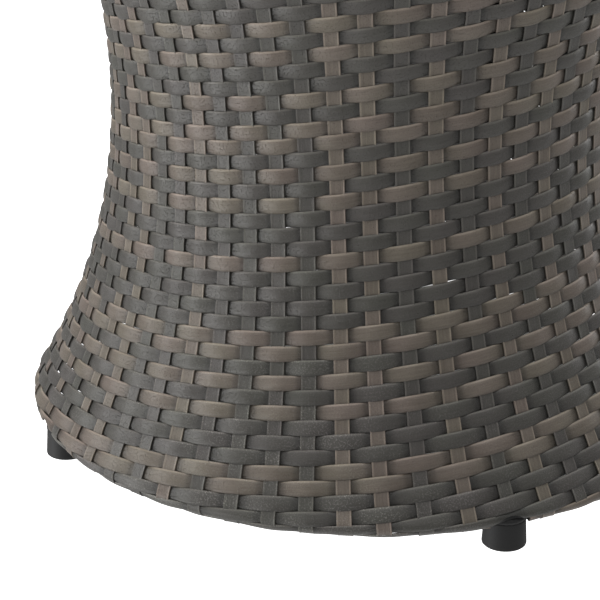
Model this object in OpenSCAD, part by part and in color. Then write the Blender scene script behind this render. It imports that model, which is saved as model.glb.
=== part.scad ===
// Round woven side table: an hourglass of flat strips on a welded tube frame, with a lift-off glass top.
// The origin is on the floor at the centre of the four feet. Angles run from +X towards +Y.

/* [Body] */
// Radius of the woven body at its waist
waist_r = 180; // [140:1:230]
// Radius of the arc that the body's outline follows from the waist to each rim
flank_r = 415; // [340:5:700]
// Clear height between the floor and the strips under the base rim
foot_rise = 18.65; // [12:0.05:30]

/* [Weave] */
// Number of horizontal rows between the rims, made even
rows = 48; // [32:2:52]
// Distance from one row to the next along the outline
row_pitch = 9.55; // [9:0.05:10.5]
// Number of upright strips around the body, made even
stakes = 60; // [48:4:64]
// Width of a horizontal strip
weaver_w = 8.5; // [6:0.1:8.8]
// Thickness of a horizontal strip at its crown
weaver_t = 1.2; // [0.8:0.1:1.6]
// Thickness of a horizontal strip at its edges
weaver_edge_t = 0.7; // [0.4:0.1:0.8]
// Width of an upright strip
stake_w = 9.4; // [6:0.1:10]
// Thickness of an upright strip
stake_t = 0.8; // [0.6:0.1:1.2]
// Gap between two strips where they cross
weave_gap = 0.06; // [0.02:0.01:0.2]
// How far round the rim tube the upright strips are hooked, past the last row
hook_turn = 100; // [60:5:150]

/* [Frame] */
// Outer diameter of the rim tubes
ring_d = 7.5; // [6:0.5:14]
// Outer diameter of the curved uprights
upright_d = 8; // [6:0.5:11]
// Diameter of the stiffening hoops
hoop_d = 6; // [5:0.5:10]
// Wall of the rim tubes and uprights
tube_wall = 1.2; // [0.8:0.1:2]
// Height of the upper and lower hoops above and below the waist, along the outline
hoop_place = 115; // [70:5:150]
// Gap between the rim tubes and the strips that wrap them
wrap_gap = 0.35; // [0.2:0.05:0.8]
// Gap between the uprights and the back of the weave
skin_gap = 0.5; // [0.2:0.1:1.5]
// Weld gap between a hoop and an upright
weld_gap = 0.1; // [0.05:0.05:0.3]

/* [Feet] */
// Outer diameter of the leg tubes
leg_d = 24; // [20:0.5:26]
// Wall of the leg tubes
leg_wall = 1.5; // [1:0.1:2.5]
// How far the legs stand inside the rim tube's centre line
leg_inset = 8.7; // [4:0.1:10]
// Outer diameter of a foot cap at its top
cap_top_d = 27; // [26:0.5:30]
// Outer diameter of a foot cap at the floor
cap_base_d = 29; // [27:0.5:32]
// Thickness of a foot cap's sole
cap_sole = 3; // [2:0.5:5]
// How far a foot cap reaches up past the strips under the base rim
cap_reach = 0.4; // [0:0.1:0.8]
// Gap between a leg tube and its cap
cap_gap = 0.1; // [0.05:0.05:0.3]
// Gap between a foot cap and the weave beside it
notch_gap = 0.8; // [0.3:0.1:3]

/* [Top] */
// How far the glass reaches out past the centre line of the rim tube
glass_over = 1; // [-3:0.5:6]
// Thickness of the glass
glass_t = 5; // [4:0.5:8]
// Radius of the ground edge of the glass
glass_edge_r = 1.5; // [0.5:0.1:2]
// Gap between the glass and the highest strips
glass_gap = 1.2; // [0.8:0.1:3]
// Diameter of the clear pads under the glass
pad_d = 10; // [8:0.5:11]
// How far the pads stand inside the rim tube's centre line
pad_inset = 1.8; // [1:0.1:4]

/* [Hidden] */
$fn = 96;

// The order of tones, B for brown and G for grey, round the body and from the bottom row up
stake_tones = "BGGGGBBGBGBGBGG";
row_tones = "BGBBGGBGBBGBGGBG";
brown = [0.47, 0.43, 0.39];
grey = [0.40, 0.40, 0.40];
steel = [0.13, 0.13, 0.13];
rubber = [0.12, 0.12, 0.12];
glass = [0.80, 0.88, 0.86, 0.45];

// Rows that roll round each rim, outside the rim tube
border_rows = 1;

// A plain weave closes only on an even number of upright strips, and an even number of rows centres it
row_count = 2 * round(rows / 2);
stake_pairs = round(stakes / 2);

// The weave is measured along the outline from the waist, and in from its outer surface as a negative offset
skin_t = weaver_t + 2 * stake_t + 2 * weave_gap;
mid_off = -skin_t / 2;
over_off = weaver_t / 2 + weave_gap + stake_t / 2;
wrap_r = skin_t + wrap_gap + ring_d / 2;
half_arc = row_count / 2 * row_pitch;
end_angle = half_arc / flank_r * 180 / PI;
ring_r = waist_r + flank_r - (flank_r + wrap_r) * cos(end_angle);
ring_rise = (flank_r + wrap_r) * sin(end_angle);
hook_r = wrap_r + mid_off - over_off + stake_t / 2;
waist_h = foot_rise + hook_r + ring_rise;
stake_turn = 180 / stake_pairs;
first_stake = stake_turn / 2;

// Frame, feet and top
upright_off = -(skin_t + skin_gap + upright_d / 2);
hoop_off = upright_off - upright_d / 2 - weld_gap - hoop_d / 2;
base_z = waist_h - ring_rise;
top_z = waist_h + ring_rise;
first_leg = 45;
leg_r = ring_r - leg_inset;
cap_h = foot_rise + cap_reach;
notch_turn = asin((cap_base_d / 2 + notch_gap) / leg_r);
glass_r = ring_r + glass_over;
glass_z = top_z + wrap_r + glass_gap;
pad_gap = 0.02;
hook_steps = 3;
sole_groove_d = 14;
sole_groove = 0.8;
cap_round = 1.2;

// A point at s along the outline from the waist, off outwards from the woven surface, as [radius, height]
function outline(s, off) = abs(s) <= half_arc ? flank(s, off) : rim(abs(s) - half_arc, off, sign(s));
function flank(s, off) = let (b = s / flank_r * 180 / PI)
    [waist_r + flank_r - (flank_r - off) * cos(b), waist_h + (flank_r - off) * sin(b)];
function rim(e, off, side) = let (b = end_angle - e / wrap_r * 180 / PI)
    [ring_r + (wrap_r + off) * cos(b), waist_h + side * (ring_rise - (wrap_r + off) * sin(b))];

// The middle of a row, and the places of the steps across it
function row_s(i) = (i - (row_count - 1) / 2) * row_pitch;
function on_rim(i) = i < 0 || i >= row_count;
function stake_steps(i) = on_rim(i) ? 2 : 1;
function across(steps) = [for (j = [0:steps]) 2 * j / steps - 1];
function crown(u) = weaver_edge_t + (weaver_t - weaver_edge_t) * (1 - u * u);

// The closed section of row i
function row_section(i) = let (c = row_s(i), us = across(2), n = len(us) - 1)
    concat([for (u = us) outline(c + u * weaver_w / 2, mid_off + crown(u) / 2)],
    [for (j = [n:-1:0]) outline(c + us[j] * weaver_w / 2, mid_off - crown(us[j]) / 2)]);

// The path of stake k as [s, offset]: over and under the rows, with a hook round each rim tube
function stake_side(k, i) = (k + i + border_rows) % 2 == 0 ? over_off : -over_off;
function stake_rows(k, from, to) = [for (i = [from:to]) for (u = across(stake_steps(i)))
    [row_s(i) + u * weaver_w / 2, mid_off + stake_side(k, i)]];
function hook(side) = let (last = half_arc + border_rows * row_pitch, reach = hook_turn * PI / 180 * wrap_r)
    [for (j = [1:hook_steps]) [side * (last + reach * j / hook_steps), mid_off - over_off]];
function backwards(list) = [for (j = [len(list) - 1:-1:0]) list[j]];
function stake_path(k, hooked) = concat(hooked ? backwards(hook(-1)) : [],
    stake_rows(k, hooked ? -border_rows : 0, row_count - 1 + border_rows), hook(1));

// A stake that would meet a leg ends above it
function leg_distance(angle) = abs((angle - first_leg + 45) % 90 - 45);
function clear_of_leg(k) = leg_distance(first_stake + k * stake_turn + 360)
    > notch_turn + asin(stake_w / 2 / leg_r);
function is_brown(tones, i) = tones[i % len(tones)] == "B";

module stake(k) {
    path = stake_path(k, clear_of_leg(k));
    rotate([90, 0, first_stake + k * stake_turn])
        translate([0, 0, -stake_w / 2])
            linear_extrude(stake_w)
                polygon(concat([for (p = path) outline(p[0], p[1] + stake_t / 2)],
                    [for (p = backwards(path)) outline(p[0], p[1] - stake_t / 2)]));
}

module stakes_of(from, to, wanted) {
    for (k = [from:to])
        if (is_brown(stake_tones, k) == wanted)
            stake(k);
}

module weavers(from, to, wanted) {
    for (i = [from:to])
        if (is_brown(row_tones, i) == wanted)
            rotate_extrude()
                polygon(row_section(i));
}

module stakes_brown() { color(brown) stakes_of(0, 2 * stake_pairs - 1, true); }
module stakes_grey_back() { color(grey) stakes_of(0, stake_pairs - 1, false); }
module stakes_grey_front() { color(grey) stakes_of(stake_pairs, 2 * stake_pairs - 1, false); }

// The rolled row at the top is a whole ring, and the one at the bottom stops on both sides of each leg
module top_border() {
    color(brown)
        for (i = [row_count:row_count - 1 + border_rows])
            rotate_extrude()
                polygon(row_section(i));
}

module bottom_border() {
    color(grey)
        for (i = [-border_rows:-1])
            for (n = [0:3])
                rotate([0, 0, first_leg + n * 90 + notch_turn])
                    rotate_extrude(angle = 90 - 2 * notch_turn)
                        polygon(row_section(i));
}

module tube_section(d, wall) {
    difference() {
        circle(d = d);
        circle(d = d - 2 * wall);
    }
}

// A rim tube, welded shut into a ring
module rim_tube(z) {
    color(steel)
        translate([0, 0, z])
            rotate_extrude()
                translate([ring_r, 0])
                    tube_section(ring_d, tube_wall);
}

module rim_envelope(z) {
    translate([0, 0, z])
        rotate_extrude()
            translate([ring_r, 0])
                circle(d = ring_d);
}

module hoop(s) {
    place = outline(s, hoop_off);
    color(steel)
        translate([0, 0, place[1]])
            rotate_extrude()
                translate([place[0], 0])
                    circle(d = hoop_d);
}

// A curved tube that follows the outline and is coped to both rim tubes
module upright(n) {
    color(steel)
        difference() {
            rotate([90, 0, first_leg + (n - 1) * 90])
                translate([waist_r + flank_r, waist_h, 0])
                    rotate([0, 0, 180 - end_angle])
                        rotate_extrude(angle = 2 * end_angle)
                            translate([flank_r - upright_off, 0])
                                tube_section(upright_d, tube_wall);
            rim_envelope(base_z);
            rim_envelope(top_z);
        }
}

// A short tube that is saddled to the base ring and stands in the foot cap
module leg_tube(n) {
    color(steel)
        difference() {
            rotate([0, 0, first_leg + (n - 1) * 90])
                translate([leg_r, 0, cap_sole])
                    linear_extrude(base_z - cap_sole)
                        tube_section(leg_d, leg_wall);
            rim_envelope(base_z);
        }
}

// A moulded push-on cap with a rounded lip and a grooved sole
module foot_cap(n) {
    color(rubber)
        rotate([0, 0, first_leg + (n - 1) * 90])
            translate([leg_r, 0, 0])
                rotate_extrude()
                    difference() {
                        cap_outline();
                        translate([0, cap_sole])
                            square([leg_d / 2 + cap_gap, cap_h]);
                        translate([sole_groove_d / 2, 0])
                            circle(r = sole_groove, $fn = 24);
                    }
}

module cap_outline() {
    lip = cap_top_d / 2 - leg_d / 2 - cap_gap;
    r = min(cap_round, lip * 0.8);
    polygon(concat([[0, 0], [cap_base_d / 2 - cap_round, 0]],
        [for (b = [-60:30:0]) [cap_base_d / 2 - cap_round * (1 - cos(b)), cap_round * (1 + sin(b))]],
        [for (b = [0:30:90]) [cap_top_d / 2 - r * (1 - cos(b)), cap_h - r * (1 - sin(b))]],
        [[0, cap_h]]));
}

// Clear pads with a hollow underside that sits on the top ring between two upright strips
module glass_pads() {
    color(glass)
        difference() {
            for (n = [0:3])
                rotate([0, 0, n * 90])
                    translate([ring_r - pad_inset, 0, top_z + ring_d / 3])
                        cylinder(d = pad_d, h = glass_z - top_z - ring_d / 3);
            translate([0, 0, top_z])
                rotate_extrude()
                    translate([ring_r, 0])
                        circle(r = ring_d / 2 + pad_gap);
        }
}

module glass_top() {
    r = glass_edge_r;
    color(glass)
        translate([0, 0, glass_z])
            rotate_extrude()
                polygon(concat([[0, 0]],
                    [for (b = [-90:15:0]) [glass_r - r + r * cos(b), r + r * sin(b)]],
                    [for (b = [0:15:90]) [glass_r - r + r * cos(b), glass_t - r + r * sin(b)]],
                    [[0, glass_t]]));
}

third = floor(row_count / 3);
glass_top();
glass_pads();
rim_tube(top_z);  // top_ring
hoop(hoop_place);  // upper_hoop
hoop(0);  // waist_hoop
hoop(-hoop_place);  // lower_hoop
rim_tube(base_z);  // base_ring
for (n = [1:4]) {
    upright(n);
    leg_tube(n);
    foot_cap(n);
}
stakes_brown();
stakes_grey_front();
stakes_grey_back();
color(brown) weavers(0, third - 1, true);  // weavers_brown_lower
color(grey) weavers(0, third - 1, false);  // weavers_grey_lower
color(brown) weavers(third, 2 * third - 1, true);  // weavers_brown_middle
color(grey) weavers(third, 2 * third - 1, false);  // weavers_grey_middle
color(brown) weavers(2 * third, row_count - 1, true);  // weavers_brown_upper
color(grey) weavers(2 * third, row_count - 1, false);  // weavers_grey_upper
top_border();
bottom_border();
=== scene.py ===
import bpy
import math
import numpy as np
from mathutils import Matrix, Vector


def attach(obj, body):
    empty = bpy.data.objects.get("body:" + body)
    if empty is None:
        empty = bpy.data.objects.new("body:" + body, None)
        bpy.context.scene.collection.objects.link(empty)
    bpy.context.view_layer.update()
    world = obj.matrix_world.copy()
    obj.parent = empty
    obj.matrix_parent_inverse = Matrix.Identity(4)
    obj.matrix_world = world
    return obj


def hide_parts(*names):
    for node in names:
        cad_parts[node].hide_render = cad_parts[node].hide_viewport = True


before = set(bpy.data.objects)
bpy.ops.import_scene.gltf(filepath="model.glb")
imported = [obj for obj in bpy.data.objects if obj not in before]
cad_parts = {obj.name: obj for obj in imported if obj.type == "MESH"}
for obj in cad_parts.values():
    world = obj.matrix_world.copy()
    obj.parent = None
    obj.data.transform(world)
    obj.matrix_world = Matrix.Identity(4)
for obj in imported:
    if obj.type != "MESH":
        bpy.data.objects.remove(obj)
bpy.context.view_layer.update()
print("stage: frame loaded,", len(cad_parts), "CAD nodes")

random = np.random.default_rng(7)

# The body's outline in metres, as in the CAD source: a flank on one arc and a roll round each rim tube
outline = {
    "waistRadius": 0.180, "flankRadius": 0.415, "halfArc": 0.2292, "wrapRadius": 0.00702,
    "waistHeight": 0.244957, "skinMiddle": -0.00134,
}
flankCentre = outline["waistRadius"] + outline["flankRadius"]
ringArm = outline["flankRadius"] + outline["wrapRadius"]
endAngle = outline["halfArc"] / outline["flankRadius"]
ringRadius = flankCentre - ringArm * math.cos(endAngle)
ringRise = ringArm * math.sin(endAngle)

# Angles round the body are counted from the middle of the photographed side, towards its right
frontPolar = math.radians(-68.6)
footPolars = [math.radians(45 + 90 * n) for n in range(4)]


def surfaceRadiusHeight(along, off):
    # along runs up the outline from the waist, off stands out from it
    side, reach = np.sign(along), np.abs(along)
    flankTurn = np.minimum(reach, outline["halfArc"]) / outline["flankRadius"]
    rollTurn = endAngle - np.maximum(reach - outline["halfArc"], 0) / outline["wrapRadius"]
    onFlank = reach <= outline["halfArc"]
    arm = outline["flankRadius"] - off
    roll = outline["wrapRadius"] + off
    radius = np.where(onFlank, flankCentre - arm * np.cos(flankTurn), ringRadius + roll * np.cos(rollTurn))
    rise = np.where(onFlank, arm * np.sin(flankTurn), ringRise - roll * np.sin(rollTurn))
    return radius, outline["waistHeight"] + side * rise


def surfacePoint(angle, along, off):
    radius, height = surfaceRadiusHeight(along, off)
    polar = frontPolar + angle
    return np.stack([radius * np.cos(polar), radius * np.sin(polar), height], -1)


# Flat strips, in metres. A face is (across, out) in shares of half the width and of the thickness,
# from the middle to one edge. Tones are B for brown and G for grey
rowStrips = {
    "top": -25, "bottom": 46,  # row numbers; row 0 crosses the middle of the photographed side at rowZero
    "rowZero": 0.1020, "pitch": 0.009564, "starts": 18,
    # In front, the climb in height per radian at the waist, and what it gains per metre up to gainTop
    "frontClimb": 0.0268, "climbGain": 0.026, "gainTop": 0.1,
    "width": 0.0102, "thickness": 0.0012, "swing": 0.00118,
    "reach": 0.0205, "pastArch": 0.0030,  # where it ends, round a rim's roll and past the edge of an arch
    "flatOver": 0.0016, "flatUnder": 0.0038, "straight": 0.35,  # how it lies between two crossings
    "narrowing": 0.07,  # the share of its width that a crossing on top squeezes away
    # Uneven by hand, as (knots in a length, size)
    "wobble": (25, 0.00016), "lift": (31, 0.00006), "tilt": (31, 0.022), "widthSpread": 0.006,
    "patternStart": 30,
    "face": ((0, .50), (.30, .46), (.58, .34), (.76, .18), (.86, .02), (.93, -.16), (.975, -.34), (1, -.54)),
    "tones": "GBGGGGBBGBGBGGGBBGGGGBGBGGBGBGGBGBBG" "BGBGGGBGGGGBBGBGBGGGBBGGGGBGBBGBGBGG",
}
uprightStrips = {
    "count": 60, "firstAngle": -5.48,  # degrees
    "lean": (-0.0421, 0.0077),  # radians for a waist radius of height, and for its square
    "width": 0.0098, "thickness": 0.0010, "swing": 0.00014,
    "reach": 0.0220, "pastArch": -0.0040,
    "sway": (14, 0.0003), "tilt": (14, 0.02), "widthSpread": 0.01,
    "patternStart": 150,
    "face": ((0, .38), (.45, .38), (.74, .40), (.83, .48), (.90, .60), (.955, .52), (.985, .28), (1, -.10)),
    "tones": "BBGBGBGBGBBGGBGGGG",
}
sectionBack = ((0.9, -0.66), (0, -0.70), (-0.9, -0.66))  # behind both kinds, from edge to edge
# Round the rims the weave is pulled in and made calmer by a share, both blended in over a length
rim = {"pull": 0.0001, "calm": 0.65, "blend": 0.008}
# The arch that the weave leaves over each foot, measured along the roll and round it
arch = {"top": 0.0009, "height": 0.0113, "halfWidth": 0.0120, "shift": -0.0025}

spacing = 360 / uprightStrips["count"]
climbPerRadian = rowStrips["starts"] * rowStrips["pitch"] / (2 * math.pi)

# How far the hand-woven strips stand from even places: uprights in degrees, rows in mm down. One line
# for each height, from the base rim up, and one number for each of these uprights
driftUprights = (-15, -10, -8, -6, -4, -2, 0, 1, 2, 3, 4, 5, 7, 14)
driftHeights = (-0.2, -0.145, -0.09, -0.02, 0.06)
uprightDrift = (
    (0, .08, -.07, -.30, -.75, -.44, -.83, -.95, -.60, .15, .87, 1.20, 1.69, 0),
    (0, .28, -.05, -.43, -.63, -.56, -.81, -.82, -.31, .28, .99, 1.24, 1.41, 0),
    (0, .08, .03, -.58, -.89, -.96, -.86, -.70, -.18, .59, 1.07, 1.28, 1.35, 0),
    (0, -.54, -.50, -1.05, -1.29, -1.28, -.94, -.54, .12, .74, 1.12, 1.16, 1.26, 0),
    (0, -.75, -.81, -1.15, -1.40, -1.28, -.91, -.55, .07, .79, 1.19, 1.47, 1.58, 0))
rowSag = (
    (0, -.8, -.2, -.1, .05, -.1, .2, .3, .3, -.1, -.3, -.8, -.4, 0),
    (0, 0, .3, .6, .5, .45, .5, .3, .1, -.15, -.5, -.6, -.2, 0),
    (0, .5, .6, 1.0, 1.25, 1.1, .7, .6, .5, .4, .2, .1, .5, 0),
    (0, .8, 1.0, 1.4, 1.6, 1.3, .9, .65, .6, .4, .4, .5, 1.0, 0),
    (0, -.6, -.1, .5, .65, .6, .45, .5, .4, .6, .6, .75, 1.6, 0))


def driftAt(table, k, along):
    byHeight = np.stack([np.interp(k, driftUprights, line) for line in table])
    place = np.interp(along, driftHeights, np.arange(len(table)))
    lower = np.minimum(place.astype(int), len(table) - 2)
    sample = np.arange(byHeight.shape[1])
    share = place - lower
    return byHeight[lower, sample] * (1 - share) + byHeight[lower + 1, sample] * share


def uprightAngle(k, along):
    height = (surfaceRadiusHeight(along, 0)[1] - outline["waistHeight"]) / outline["waistRadius"]
    lean = uprightStrips["lean"][0] * height + uprightStrips["lean"][1] * height ** 2
    return np.radians(spacing * k + uprightStrips["firstAngle"] + driftAt(uprightDrift, k, along)) + lean


def rowAlong(row, angle):
    # Rows climb to the right as a spiral, a little slower on the lower front
    start = rowStrips["rowZero"] - rowStrips["pitch"] * row
    bend = np.minimum(start, rowStrips["gainTop"]) / outline["flankRadius"]
    rise = outline["flankRadius"] * np.sin(bend)
    climb = (rowStrips["frontClimb"] + rowStrips["climbGain"] * rise) / np.cos(bend)
    frontShare = 4 / 3 * np.sin(angle) - np.sin(2 * angle) / 6  # slope 1 in front, nothing over a turn
    along = start + climbPerRadian * angle - (climbPerRadian - climb) * frontShare
    k = (np.degrees(angle) - uprightStrips["firstAngle"]) / spacing
    return along - 0.001 * driftAt(rowSag, k, along)


def crossing(k, row):
    # Angle and height along the outline where upright k meets a row, which settles in four rounds
    angle = np.radians(spacing * k)
    for _ in range(4):
        angle = uprightAngle(k, rowAlong(row, angle))
    return angle, rowAlong(row, angle)


def archLimit(angle, along):
    # The roll distance past which the weave is cut away over a foot, and no limit elsewhere
    radius = surfaceRadiusHeight(along, 0)[0]
    polar = frontPolar + angle
    limit = np.full(np.shape(angle), np.inf)
    for foot in footPolars:
        side = np.abs(((polar - foot + math.pi) % (2 * math.pi) - math.pi) * radius - arch["shift"])
        share = np.clip(side / arch["halfWidth"], 0, 1)
        height = arch["top"] + arch["height"] * (1 - np.sqrt(1 - share ** 2))
        limit = np.where(side < arch["halfWidth"], np.minimum(limit, height), limit)
    return limit


def keptSamples(angle, along, strips):
    # Where a strip is there at all: as far as it reaches round the rims, and clear of the arches
    inArch = -along - outline["halfArc"] > archLimit(angle, along) + strips["pastArch"]
    return (np.abs(along) < outline["halfArc"] + strips["reach"]) & ~inArch


def clampToArch(angle, along):
    return np.maximum(along, -(outline["halfArc"] + archLimit(angle, along)))


def stripSection(face):
    # From one edge over the face to the other edge and back behind: rows are pillowed, and uprights
    # are flat with a raised bead along each edge
    across, out = np.array(face, float).T
    backAcross, backOut = np.array(sectionBack).T
    return (np.concatenate([-across[::-1], across[1:], backAcross]),
            np.concatenate([out[::-1], out[1:], backOut]))


class StripMesh:
    def __init__(self):
        self.points, self.faces, self.caps, self.coords, self.spans, self.count = [], [], [], [], [], 0

    def addRun(self, grid, lengths, across, width, seed, crown):
        # grid is samples x section points x 3, closed round the section and capped at both ends.
        # Each seed takes its own 0.1 m of the pattern
        samples, around = grid.shape[:2]
        index = self.count + np.arange(samples * around).reshape(samples, around)
        a, b = index[:-1], index[1:]
        self.faces.append(np.stack([a, b, np.roll(b, -1, 1), np.roll(a, -1, 1)], -1).reshape(-1, 4))
        u = np.repeat(lengths[:, None], around, 1)
        v = np.repeat(across[None, :] * width / 2, samples, 0) + 0.1 * seed
        self.coords.append(np.stack([u, v], -1).reshape(-1, 2))
        # The second set: how high the strip stands, 0 under a crossing and 1 over it, and how far across
        lift = np.repeat((crown[:, None] + 1) / 2, around, 1)
        share = np.repeat((across[None, :] + 1) / 2, samples, 0)
        self.spans.append(np.stack([lift, share], -1).reshape(-1, 2))
        self.points.append(grid.reshape(-1, 3))
        self.count += samples * around
        self.caps += [index[0], index[-1, ::-1]]

    def build(self, name):
        points = np.concatenate(self.points)
        quads = np.concatenate(self.faces)
        caps = np.array(self.caps)
        loops = np.concatenate([quads.ravel(), caps.ravel()])
        capStarts = len(quads) * 4 + np.arange(len(caps)) * caps.shape[1]
        starts = np.concatenate([np.arange(len(quads)) * 4, capStarts])
        mesh = bpy.data.meshes.new(name)
        mesh.vertices.add(len(points))
        mesh.vertices.foreach_set("co", points.ravel().astype(np.float32))
        mesh.loops.add(len(loops))
        mesh.loops.foreach_set("vertex_index", loops.astype(np.int32))
        mesh.polygons.add(len(starts))
        mesh.polygons.foreach_set("loop_start", starts.astype(np.int32))
        mesh.update(calc_edges=True)
        mesh.validate()
        mesh.polygons.foreach_set("use_smooth", np.ones(len(mesh.polygons), bool))
        vertexOfLoop = np.zeros(len(mesh.loops), np.int32)
        mesh.loops.foreach_get("vertex_index", vertexOfLoop)
        for layerName, values in (("strip", self.coords), ("span", self.spans)):
            layer = mesh.uv_layers.new(name=layerName)
            layer.uv.foreach_set("vector", np.concatenate(values)[vertexOfLoop].ravel().astype(np.float32))
        piece = bpy.data.objects.new(name, mesh)
        bpy.context.scene.collection.objects.link(piece)
        return piece


def runsOf(mask):
    # Start and end of each unbroken run of kept samples
    edges = np.flatnonzero(np.diff(np.concatenate([[0], mask.astype(int), [0]])))
    return [(a, b) for a, b in zip(edges[::2], edges[1::2]) if b - a > 3]


def smoothStep(t):
    t = np.clip(t, 0, 1)
    return t * t * (3 - 2 * t)


def rimShare(along):
    # 0 on the flank, 1 where the weave rolls round a rim and is pulled flat
    return smoothStep((np.abs(along) - outline["halfArc"] + rim["blend"] / 2) / rim["blend"])


def rimCalm(along):
    return 1 - rim["calm"] * rimShare(along)


def softNoise(count, knots, size):
    # A random wave through evenly spaced knots
    values = random.normal(0, size, knots)
    return np.interp(np.linspace(0, knots - 1, count), np.arange(knots), values)


def lengthsAlong(angle, along, off):
    steps = np.diff(surfacePoint(angle, along, off), axis=0)
    return np.concatenate([[0], np.cumsum(np.linalg.norm(steps, axis=1))])


def weaveRows():
    meshes = {"B": StripMesh(), "G": StripMesh()}
    across, out = stripSection(rowStrips["face"])
    half = uprightStrips["count"] // 2
    ks = np.arange(-half, half + 1.0)
    # Samples from one upright to the next
    steps = np.array([0, .09, .20, .34, .50, .66, .80, .91])
    cell = np.append(np.repeat(np.arange(len(ks) - 1), len(steps)), len(ks) - 2)
    part = np.append(np.tile(steps, len(ks) - 1), 1.0)
    for row in range(rowStrips["top"], rowStrips["bottom"] + 1):
        angles, _ = crossing(ks, row)
        angle = np.append((angles[:-1, None] + np.diff(angles)[:, None] * steps).ravel(), angles[-1])
        along = rowAlong(row, angle)
        radius = surfaceRadiusHeight(along, 0)[0]
        # Taut: flat over a crossed upright, then nearly straight down to the next one
        length = (np.diff(angles) * np.interp(angles[:-1], angle, radius))[cell]
        startsOver = (ks[cell] + row) % 2 != 0
        fromOver = np.where(startsOver, part, 1 - part) * length
        free = length - rowStrips["flatOver"] - rowStrips["flatUnder"]
        ease = np.clip((fromOver - rowStrips["flatOver"]) / free, 0, 1)
        wave = 1 - 2 * (rowStrips["straight"] * ease + (1 - rowStrips["straight"]) * smoothStep(ease))
        wobble = softNoise(len(angle), *rowStrips["wobble"]) * rimCalm(along)
        lift = softNoise(len(angle), *rowStrips["lift"]) * rimCalm(along)
        tilt = softNoise(len(angle), *rowStrips["tilt"])
        width = rowStrips["width"] * (1 + random.normal(0, rowStrips["widthSpread"]))
        width = width * (1 - rowStrips["narrowing"] * (1 - wave) / 2)
        along = along + wobble
        off = outline["skinMiddle"] + rowStrips["swing"] * wave * rimCalm(along) + lift
        off = off - rim["pull"] * rimShare(along)
        slope = np.arctan2(np.gradient(along), np.gradient(angle) * radius)
        step = across[None, :] * width[:, None] / 2
        gridAlong = along[:, None] + step * np.cos(slope)[:, None]
        gridAngle = angle[:, None] - step * np.sin(slope)[:, None] / radius[:, None]
        gridOff = off[:, None] + out[None, :] * rowStrips["thickness"] + step * tilt[:, None]
        grid = surfacePoint(gridAngle, clampToArch(gridAngle, gridAlong), gridOff)
        lengths = lengthsAlong(angle, along, off)
        mesh = meshes[rowStrips["tones"][row - rowStrips["top"]]]
        seed = row + rowStrips["patternStart"]
        for a, b in runsOf(keptSamples(angle, along, rowStrips)):
            mesh.addRun(grid[a:b], lengths[a:b], across, rowStrips["width"], seed, wave[a:b])
    return meshes


def weaveUprights():
    meshes = {"B": StripMesh(), "G": StripMesh()}
    across, out = stripSection(uprightStrips["face"])
    half = uprightStrips["count"] // 2
    rows = np.arange(rowStrips["top"] - 1, rowStrips["bottom"] + 2)
    steps = np.array([0, 0.25, 0.5, 0.75])  # samples from one row to the next
    for k in range(-half, half):
        _, alongs = crossing(np.full(len(rows), float(k)), rows.astype(float))
        order = np.argsort(alongs)
        alongs, crossed = alongs[order], rows[order]
        side = np.where((k + crossed) % 2 == 0, 1.0, -1.0)
        along = (alongs[:-1, None] + np.diff(alongs)[:, None] * steps).ravel()
        wave = (side[:-1, None] + np.diff(side)[:, None] * smoothStep(steps)).ravel()
        angle = uprightAngle(np.full(len(along), float(k)), along)
        angle = angle + softNoise(len(along), *uprightStrips["sway"])
        radius = surfaceRadiusHeight(along, 0)[0]
        width = uprightStrips["width"] * (1 + random.normal(0, uprightStrips["widthSpread"]))
        tilt = softNoise(len(along), *uprightStrips["tilt"])
        off = outline["skinMiddle"] + uprightStrips["swing"] * wave - rim["pull"] * rimShare(along)
        step = across[None, :] * width / 2
        gridAngle = angle[:, None] + step / radius[:, None]
        gridAlong = np.repeat(along[:, None], len(across), 1)
        gridOff = off[:, None] + out[None, :] * uprightStrips["thickness"] + step * tilt[:, None]
        grid = surfacePoint(gridAngle, clampToArch(gridAngle, gridAlong), gridOff)[:, ::-1]
        lengths = lengthsAlong(angle, along, off)
        mesh = meshes[uprightStrips["tones"][k % len(uprightStrips["tones"])]]
        seed = k + uprightStrips["patternStart"]
        for a, b in runsOf(keptSamples(angle, along, uprightStrips)):
            mesh.addRun(grid[a:b], lengths[a:b], across[::-1], uprightStrips["width"], seed, wave[a:b])
    return meshes


rowMeshes = weaveRows()
uprightMeshes = weaveUprights()
rowsBrown = rowMeshes["B"].build("rows_brown")
rowsGrey = rowMeshes["G"].build("rows_grey")
uprightsBrown = uprightMeshes["B"].build("uprights_brown")
uprightsGrey = uprightMeshes["G"].build("uprights_grey")
stripPieces = (rowsBrown, rowsGrey, uprightsBrown, uprightsGrey)
print("stage: weave built,", sum(len(piece.data.polygons) for piece in stripPieces), "faces")

# The weld round the top of each leg tube, in metres. The bead swells with its ripples and its sway
weld = {
    "legInset": 0.0087, "height": 0.0204, "radius": 0.0114, "thickness": 0.0023,
    "ripples": 24, "ripple": 0.12, "sway": 0.06,
}
weldSamples = 97
weldKnot = 8  # samples from one knot of the sway to the next
weldSection = np.radians([20, 65, 110, 155, 200, 245, 290, 335])


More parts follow.
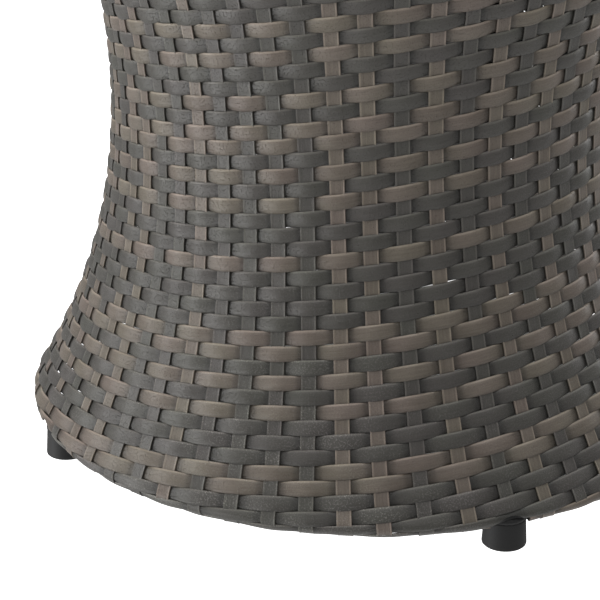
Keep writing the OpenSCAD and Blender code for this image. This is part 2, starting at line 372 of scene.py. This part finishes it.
def weldBead(mesh, foot, seed):
    # A rippled ring that ends where it starts
    turn = np.linspace(0, 2 * math.pi, weldSamples)
    knots = np.append(np.random.default_rng(seed).normal(0, weld["sway"], weldSamples // weldKnot), 0)
    sway = np.interp(np.arange(weldSamples), np.arange(0, weldSamples, weldKnot), knots)
    ripple = weld["ripple"] * np.abs(np.sin(weld["ripples"] * turn / 2))
    size = weld["thickness"] * (1 + ripple + sway * np.sin(turn / 2))
    polar = (turn + math.radians(45))[:, None]
    reach = weld["radius"] + size[:, None] * np.cos(weldSection)
    rise = size[:, None] * np.sin(weldSection)
    legRadius = ringRadius - weld["legInset"]
    centre = np.array((legRadius * math.cos(foot), legRadius * math.sin(foot), weld["height"]))
    grid = centre + np.stack([np.cos(polar) * reach, np.sin(polar) * reach, rise], -1)
    mesh.addRun(grid[:, ::-1], turn * weld["radius"], np.cos(weldSection[::-1]), 2 * weld["thickness"], 0,
                np.ones(weldSamples))


weldMesh = StripMesh()
for n, foot in enumerate(footPolars):
    weldBead(weldMesh, foot, 20 + n)
weldBeads = weldMesh.build("leg_weld_beads")
print("stage: welds built")


def linearColour(text):
    parts = [int(text[i:i + 2], 16) / 255 for i in (1, 3, 5)]
    return [c / 12.92 if c <= 0.04045 else ((c + 0.055) / 1.055) ** 2.4 for c in parts] + [1.0]


def noiseScale(size):
    # For a noise whose features are about size mm across
    return round(1000 / size)


def greyStops(stops):
    return [(place, (shade, shade, shade, 1)) for place, shade in stops]


def newMaterial(name):
    material = bpy.data.materials.new(name)
    material.use_nodes = True
    tree = material.node_tree
    return material, tree, tree.nodes["Principled BSDF"]


def addNode(tree, kind, inputs=(), **settings):
    # One node, its settings and its inputs: a value, or another node's output socket
    node = tree.nodes.new(kind)
    for key, value in settings.items():
        setattr(node, key, value)
    for key, value in dict(inputs).items():
        if isinstance(value, bpy.types.NodeSocket):
            tree.links.new(value, node.inputs[key])
        else:
            node.inputs[key].default_value = value
    return node


def setRamp(node, stops):
    elements = node.color_ramp.elements
    while len(elements) < len(stops):
        elements.new(0.5)
    for element, (place, colour) in zip(elements, stops):
        element.position = place
        element.color = colour
    return node


# What both tones of strip share, with sizes in mm. The lines are what the extruder's die leaves, and the
# flecks stand for dust and grit too fine to show, drawn coarser as raised, glossier grains; their bright
# colour is a painted glint on the raked side
stripSurface = {
    "lineLength": 18.2, "lineWidth": 1.3, "lineDepth": 0.3, "lineStrength": 0.25,
    "patchSize": 38.5, "patchShows": (0.42, 0.62), "betweenPatches": 0.12,
    "fleckSize": 1.22, "fleckShows": (0.54, 0.64), "fleckDepth": 0.22, "paintedGlintColour": "#bab7b2",
    "betweenFlecks": 0.14, "grain": (0.88, 1.12), "batchSize": 62.5,
}
# Besides the tones, gloss and IOR, each sets how strongly its painted glints lighten the colour
brownStrip = {"dark": "#675e54", "light": "#857c71", "gloss": 0.24, "paintedGlints": 0.36, "ior": 1.52}
greyStrip = {"dark": "#474540", "light": "#595752", "gloss": 0.26, "paintedGlints": 0.50, "ior": 1.6}
# Painted light and shade, as brightness from one edge to the other and from under a crossing to over it. Rows
# get a painted highlight along their upper edge and painted shade along the lower one; uprights a painted
# highlight on the bead along both
rowPaintedLight = {
    "edges": ((0, .6), (.08, .85), (.3, .97), (.7, 1.02), (.84, 1.15), (.91, 1.9), (.96, 2.2), (1, 1)),
    # painted shade under a crossing, a faint painted highlight over it
    "paintedDiveShadeCrownLight": ((0, .42), (.16, .6), (.34, .92), (.6, 1.02), (1, 1.08)),
}
uprightPaintedLight = {
    "edges": ((0, .8), (.035, 1.5), (.09, 1.65), (.15, .99), (.85, .99), (.91, 1.6), (.965, 1.5), (1, .8)),
    # painted shade under a crossing, a faint painted highlight over it
    "paintedDiveShadeCrownLight": ((0, .5), (.35, .7), (.7, 1), (1, 1.06)),
}
# Batches of strip differ a little: some towards green, some towards mauve
batchTints = ((0.35, (0.98, 0.997, 0.96, 1)), (0.5, (1.01, 0.997, 1, 1)), (0.65, (1.03, 0.985, 1.02, 1)))
# Painted glints: bright grains painted into the colour where the key light rakes the lower left of the front
# side, towards this direction
glintPolar = frontPolar - math.radians(35)
glint = {"direction": (math.cos(glintPolar), math.sin(glintPolar), -0.6), "fadesIn": (0.03, 0.2)}


def rattanMaterial(name, settings):
    # Extruded polyethylene rattan: a satin strip with fine lengthwise lines and a mottled sheen, with painted
    # glints, painted edge highlights and painted shade at the crossings in its colour
    material, tree, shader = newMaterial(name)
    uv = addNode(tree, "ShaderNodeUVMap", uv_map="strip").outputs["UV"]
    slender = stripSurface["lineLength"] / stripSurface["lineWidth"]
    stretched = addNode(tree, "ShaderNodeMapping", {"Vector": uv, "Scale": (1, slender, 1)}).outputs["Vector"]
    lines = addNode(tree, "ShaderNodeTexNoise", {
        "Vector": stretched, "Scale": noiseScale(stripSurface["lineLength"]),
        "Detail": 4, "Roughness": 0.6}).outputs["Fac"]
    patches = addNode(tree, "ShaderNodeTexNoise", {
        "Vector": uv, "Scale": noiseScale(stripSurface["patchSize"]), "Detail": 2}).outputs["Fac"]
    speckle = addNode(tree, "ShaderNodeTexNoise", {
        "Vector": uv, "Scale": noiseScale(stripSurface["fleckSize"]),
        "Detail": 3, "Roughness": 0.7}).outputs["Fac"]
    low, high = stripSurface["fleckShows"]
    flecks = addNode(tree, "ShaderNodeMapRange", {
        "Value": speckle, "From Min": low, "From Max": high}).outputs["Result"]
    blend = addNode(tree, "ShaderNodeMath", {0: lines, 1: patches}, operation="ADD").outputs[0]
    half = addNode(tree, "ShaderNodeMath", {0: blend, 1: 0.5}, operation="MULTIPLY").outputs[0]
    ramp = setRamp(addNode(tree, "ShaderNodeValToRGB", {"Fac": half}),
                   [(0.30, linearColour(settings["dark"])), (0.70, linearColour(settings["light"]))])
    # Painted glints: bright grains, in clumps, only on the raked side
    place = addNode(tree, "ShaderNodeTexCoord").outputs["Object"]
    toGlint = addNode(tree, "ShaderNodeVectorMath", {
        0: place, 1: glint["direction"]}, operation="DOT_PRODUCT")
    low, high = glint["fadesIn"]
    raked = addNode(tree, "ShaderNodeMapRange", {
        "Value": toGlint.outputs["Value"], "From Min": low, "From Max": high}).outputs["Result"]
    grains = addNode(tree, "ShaderNodeMath", {0: flecks, 1: raked}, operation="MULTIPLY").outputs[0]
    low, high = stripSurface["patchShows"]
    clumps = addNode(tree, "ShaderNodeMapRange", {
        "Value": patches, "From Min": low, "From Max": high,
        "To Min": stripSurface["betweenPatches"]}).outputs["Result"]
    clumped = addNode(tree, "ShaderNodeMath", {0: grains, 1: clumps}, operation="MULTIPLY").outputs[0]
    paintedGlints = addNode(tree, "ShaderNodeMapRange", {"Value": clumped, "To Max": settings["paintedGlints"]})
    withPaintedGlints = addNode(tree, "ShaderNodeMix", {
        0: paintedGlints.outputs["Result"], 6: ramp.outputs["Color"],
        7: linearColour(stripSurface["paintedGlintColour"])}, data_type="RGBA")
    batch = addNode(tree, "ShaderNodeTexNoise", {
        "Vector": uv, "Scale": noiseScale(stripSurface["batchSize"]), "Detail": 1}).outputs["Fac"]
    tint = setRamp(addNode(tree, "ShaderNodeValToRGB", {"Fac": batch}), batchTints)
    tinted = addNode(tree, "ShaderNodeMix", {0: 1.0, 6: withPaintedGlints.outputs[2], 7: tint.outputs["Color"]},
                     data_type="RGBA", blend_type="MULTIPLY")
    # Painted highlights along the edges, painted shade where one strip dives under another and a faint
    # painted highlight where it lies over
    spanUv = addNode(tree, "ShaderNodeUVMap", uv_map="span").outputs["UV"]
    span = addNode(tree, "ShaderNodeSeparateXYZ", {0: spanUv})
    paintedEdgeLight = addNode(tree, "ShaderNodeValToRGB", {"Fac": span.outputs["Y"]})
    setRamp(paintedEdgeLight, greyStops(settings["edges"]))
    paintedDiveShadeCrownLight = addNode(tree, "ShaderNodeValToRGB", {"Fac": span.outputs["X"]})
    setRamp(paintedDiveShadeCrownLight, greyStops(settings["paintedDiveShadeCrownLight"]))
    paintedLightAndShade = addNode(tree, "ShaderNodeMix", {0: 1.0, 6: paintedEdgeLight.outputs["Color"], 7: paintedDiveShadeCrownLight.outputs["Color"]},
                   data_type="RGBA", blend_type="MULTIPLY")
    darkest, lightest = stripSurface["grain"]
    grain = addNode(tree, "ShaderNodeMapRange", {
        "Value": speckle, "From Min": 0.3, "From Max": 0.7,
        "To Min": darkest, "To Max": lightest}).outputs["Result"]
    grained = addNode(tree, "ShaderNodeVectorMath", {0: paintedLightAndShade.outputs[2], "Scale": grain}, operation="SCALE")
    finished = addNode(tree, "ShaderNodeMix", {0: 1.0, 6: tinted.outputs[2], 7: grained.outputs["Vector"]},
                       data_type="RGBA", blend_type="MULTIPLY")
    tree.links.new(finished.outputs[2], shader.inputs["Base Color"])
    # The strip is dullest between the flecks
    dullest = settings["gloss"] + stripSurface["betweenFlecks"]
    rough = addNode(tree, "ShaderNodeMapRange", {
        "Value": flecks, "To Min": dullest, "To Max": settings["gloss"]})
    tree.links.new(rough.outputs["Result"], shader.inputs["Roughness"])
    fine = addNode(tree, "ShaderNodeBump", {
        "Height": flecks, "Strength": 1.0, "Distance": stripSurface["fleckDepth"] / 1000})
    grooves = addNode(tree, "ShaderNodeBump", {
        "Height": lines, "Strength": stripSurface["lineStrength"],
        "Distance": stripSurface["lineDepth"] / 1000, "Normal": fine.outputs["Normal"]})
    tree.links.new(grooves.outputs["Normal"], shader.inputs["Normal"])
    shader.inputs["IOR"].default_value = settings["ior"]
    return material


brownRows = rattanMaterial("brown_polyethylene_rattan_rows", brownStrip | rowPaintedLight)
greyRows = rattanMaterial("grey_polyethylene_rattan_rows", greyStrip | rowPaintedLight)
brownUprights = rattanMaterial("brown_polyethylene_rattan_uprights", brownStrip | uprightPaintedLight)
greyUprights = rattanMaterial("grey_polyethylene_rattan_uprights", greyStrip | uprightPaintedLight)


def blackMaterial(name, settings):
    material, tree, shader = newMaterial(name)
    place = addNode(tree, "ShaderNodeTexCoord").outputs["Object"]
    peel = addNode(tree, "ShaderNodeTexNoise", {
        "Vector": place, "Scale": noiseScale(settings["grain"]), "Detail": 2}).outputs["Fac"]
    ramp = setRamp(addNode(tree, "ShaderNodeValToRGB", {"Fac": peel}),
                   [(0.3, linearColour(settings["dark"])), (0.7, linearColour(settings["light"]))])
    tree.links.new(ramp.outputs["Color"], shader.inputs["Base Color"])
    bump = addNode(tree, "ShaderNodeBump", {
        "Height": peel, "Strength": 0.2, "Distance": settings["depth"] / 1000})
    tree.links.new(bump.outputs["Normal"], shader.inputs["Normal"])
    shader.inputs["Roughness"].default_value = settings["roughness"]
    shader.inputs["IOR"].default_value = settings["ior"]
    return material


# Powder coat, sprayed and baked on steel: a dull black with faint orange peel. Grain and depth in mm
powderCoat = blackMaterial("powder_coated_steel", {
    "grain": 1.111, "depth": 0.1, "dark": "#1e1e1e", "light": "#252525", "roughness": 0.6, "ior": 1.5})
# Polypropylene, moulded with a fine texture: as black and as dull as the coat, with a finer grain
mouldedPlastic = blackMaterial("moulded_foot_plastic", {
    "grain": 0.7143, "depth": 0.1, "dark": "#1e1e1e", "light": "#252525", "roughness": 0.6, "ior": 1.5})


def clearMaterial(name, settings):
    material, tree, shader = newMaterial(name)
    place = addNode(tree, "ShaderNodeTexCoord").outputs["Object"]
    haze = addNode(tree, "ShaderNodeTexNoise", {
        "Vector": place, "Scale": noiseScale(settings["haze"]), "Detail": 3}).outputs["Fac"]
    rough = addNode(tree, "ShaderNodeMapRange", {
        "Value": haze, "To Min": settings["roughness"] * 0.6, "To Max": settings["roughness"]})
    tree.links.new(rough.outputs["Result"], shader.inputs["Roughness"])
    shader.inputs["Base Color"].default_value = linearColour(settings["colour"])
    shader.inputs["Transmission Weight"].default_value = 1.0
    shader.inputs["IOR"].default_value = settings["ior"]
    return material


# Tempered float glass: clear and faintly green, with smears about 33 mm across
temperedGlass = clearMaterial("tempered_glass", {
    "colour": "#e4f2ee", "haze": 33.3, "roughness": 0.03, "ior": 1.52})
# Clear rubber, moulded: soft and milky
clearRubber = clearMaterial("clear_moulded_rubber", {
    "colour": "#e8e8e4", "haze": 33.3, "roughness": 0.35, "ior": 1.45})


def dress(piece, material):
    piece.data.materials.clear()
    piece.data.materials.append(material)


for piece, material, slot, nodes in (
        (rowsBrown, brownRows, "brown_strip",
         ["weavers_brown_lower", "weavers_brown_middle", "weavers_brown_upper", "top_border"]),
        (rowsGrey, greyRows, "grey_strip",
         ["weavers_grey_lower", "weavers_grey_middle", "weavers_grey_upper", "bottom_border"]),
        (uprightsBrown, brownUprights, "brown_strip", ["stakes_brown"]),
        (uprightsGrey, greyUprights, "grey_strip", ["stakes_grey_front", "stakes_grey_back"])):
    dress(piece, material)
    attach(piece, "base")
    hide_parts(*nodes)

dress(weldBeads, powderCoat)
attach(weldBeads, "base")
steelNames = ("top_ring", "base_ring", "upper_hoop", "waist_hoop", "lower_hoop", "upright", "leg_tube")
for name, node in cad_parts.items():
    if name.startswith(steelNames):
        dress(node, powderCoat)
    elif name.startswith("foot_cap"):
        dress(node, mouldedPlastic)
    elif name == "glass_top":
        dress(node, temperedGlass)
    elif name == "glass_pads":
        dress(node, clearRubber)
print("stage: materials set")

# The white floor glows, but not in a painted shade under the table: an oval that lies a little away from the
# front side, with its far rim softer, where the floor shows only the light that reaches it. Sizes in metres,
# fades in shares of the oval
floorLook = {
    "reach": 30, "white": 0.9, "roughness": 0.9, "glow": 1.5,
    "shadeOffset": -0.055, "shadeAxes": (0.245, 0.212),
    "nearFade": 0.98, "farFade": 0.77, "farFrom": -0.75, "nearFrom": -0.35,
}
floorMesh = bpy.data.meshes.new("floor")
edge = floorLook["reach"]
floorCorners = [(-edge, -edge, 0), (edge, -edge, 0), (edge, edge, 0), (-edge, edge, 0)]
floorMesh.from_pydata(floorCorners, [], [(0, 1, 2, 3)])
floor = bpy.data.objects.new("floor", floorMesh)
bpy.context.scene.collection.objects.link(floor)
floorMaterial, floorTree, floorShader = newMaterial("pale_floor")
floorShader.inputs["Base Color"].default_value = (*[floorLook["white"]] * 3, 1)
floorShader.inputs["Roughness"].default_value = floorLook["roughness"]
floorShader.inputs["Emission Color"].default_value = (1, 1, 1, 1)
floorPlace = addNode(floorTree, "ShaderNodeTexCoord").outputs["Object"]
shadeMiddle = floorLook["shadeOffset"] * Vector((math.cos(frontPolar), math.sin(frontPolar), 0))
inShade = addNode(floorTree, "ShaderNodeMapping", {
    "Vector": floorPlace, "Location": shadeMiddle, "Rotation": (0, 0, frontPolar),
    "Scale": (*floorLook["shadeAxes"], 1)}, vector_type="TEXTURE").outputs["Vector"]
shadeReach = addNode(floorTree, "ShaderNodeVectorMath", {0: inShade}, operation="LENGTH").outputs["Value"]
towardsFront = addNode(floorTree, "ShaderNodeSeparateXYZ", {0: inShade}).outputs["X"]
fadeStart = addNode(floorTree, "ShaderNodeMapRange", {
    "Value": towardsFront, "From Min": floorLook["farFrom"], "From Max": floorLook["nearFrom"],
    "To Min": floorLook["farFade"], "To Max": floorLook["nearFade"]}).outputs["Result"]
glow = addNode(floorTree, "ShaderNodeMapRange", {
    "Value": shadeReach, "From Min": fadeStart, "From Max": 1.0, "To Min": 0.0, "To Max": floorLook["glow"]},
    interpolation_type="SMOOTHSTEP")
floorTree.links.new(glow.outputs["Result"], floorShader.inputs["Emission Strength"])
floor.data.materials.append(floorMaterial)
floor.visible_diffuse = False
floor.visible_glossy = False
floor.visible_shadow = False

# Studio light from all round, by height from straight down (0) to straight up (1): bright from the
# ceiling, some from the floor and dim round the horizon. The camera sees plain white instead
studio = {
    "strength": 0.42, "backdrop": 1.5,
    "byHeight": ((0, 2.4), (0.30, 1.0), (0.5, 0.5), (0.68, 0.5), (0.85, 1.4), (1, 3.4)),
}
world = bpy.data.worlds.new("studio")
bpy.context.scene.world = world
world.use_nodes = True
worldTree = world.node_tree
studioGlow = worldTree.nodes["Background"]
studioGlow.inputs["Strength"].default_value = studio["strength"]
skyDirection = addNode(worldTree, "ShaderNodeTexCoord").outputs["Generated"]
skyHeight = addNode(worldTree, "ShaderNodeSeparateXYZ", {0: skyDirection}).outputs["Z"]
skyShare = addNode(worldTree, "ShaderNodeMapRange", {
    "Value": skyHeight, "From Min": -1.0, "From Max": 1.0}).outputs["Result"]
skyRamp = addNode(worldTree, "ShaderNodeValToRGB", {"Fac": skyShare})
setRamp(skyRamp, greyStops(studio["byHeight"]))
worldTree.links.new(skyRamp.outputs["Color"], studioGlow.inputs["Color"])
backdrop = addNode(worldTree, "ShaderNodeBackground", {
    "Color": (1, 1, 1, 1), "Strength": studio["backdrop"]})
seen = addNode(worldTree, "ShaderNodeLightPath").outputs["Is Camera Ray"]
mixed = addNode(worldTree, "ShaderNodeMixShader", {
    0: seen, 1: studioGlow.outputs[0], 2: backdrop.outputs[0]})
worldTree.links.new(mixed.outputs[0], worldTree.nodes["World Output"].inputs["Surface"])
bpy.context.scene.view_settings.view_transform = "Standard"

# Softboxes 2 m from the middle of the body: angle round the body, degrees up, width and height, watts
softboxes = {
    "key_softbox": (-84, 14, (1.3, 1.1), 12.6),
    "low_softbox": (-74, -18, (1.3, 0.9), 9.6),
    "rim_softbox": (120, 12, (1.0, 1.4), 9),
    "front_softbox": (-46, -10, (0.5, 0.7), 3.0),
}
softboxDistance = 2.0
softboxAim = Vector((0, 0, 0.2))
for name, (angle, elevation, size, watts) in softboxes.items():
    polar = frontPolar + math.radians(angle)
    lift = math.radians(elevation)
    direction = Vector((math.cos(polar) * math.cos(lift), math.sin(polar) * math.cos(lift), math.sin(lift)))
    data = bpy.data.lights.new(name, "AREA")
    data.shape = "RECTANGLE"
    data.size, data.size_y = size
    data.energy = watts
    lamp = bpy.data.objects.new(name, data)
    bpy.context.scene.collection.objects.link(lamp)
    lamp.location = softboxAim + direction * softboxDistance
    lamp.rotation_mode = "QUATERNION"
    lamp.rotation_quaternion = (-direction).to_track_quat("-Z", "Y")
print("stage: floor and light set")

# The camera that matches the photograph's view: metres from the axis and above the waist, angles in
# radians, lens and sensor in mm
shot = {
    "distance": 1.342998, "height": 0.377694, "yaw": 0.03602, "pitch": 0.38305, "roll": -0.00395,
    "lens": 119.5848, "sensor": 36,
}
cosYaw, sinYaw = math.cos(shot["yaw"]), math.sin(shot["yaw"])
cosPitch, sinPitch = math.cos(shot["pitch"]), math.sin(shot["pitch"])
cosRoll, sinRoll = math.cos(shot["roll"]), math.sin(shot["roll"])
right = Vector((cosYaw, sinYaw, 0))
forward = Vector((-sinYaw * cosPitch, cosYaw * cosPitch, -sinPitch))
up = Vector((-sinYaw * sinPitch, cosYaw * sinPitch, cosPitch))
localX = cosRoll * right - sinRoll * up
localY = sinRoll * right + cosRoll * up
turn = Matrix.Rotation(frontPolar + math.pi / 2, 4, "Z")
pose = Matrix((
    (localX.x, localY.x, -forward.x, 0),
    (localX.y, localY.y, -forward.y, -shot["distance"]),
    (localX.z, localY.z, -forward.z, shot["height"]),
    (0, 0, 0, 1)))
cameraData = bpy.data.cameras.new("camera")
cameraData.sensor_width = shot["sensor"]
cameraData.lens = shot["lens"]
camera = bpy.data.objects.new("camera", cameraData)
bpy.context.scene.collection.objects.link(camera)
camera.matrix_world = Matrix.Translation((0, 0, outline["waistHeight"])) @ turn @ pose
bpy.context.scene.camera = camera

print("stage: done")
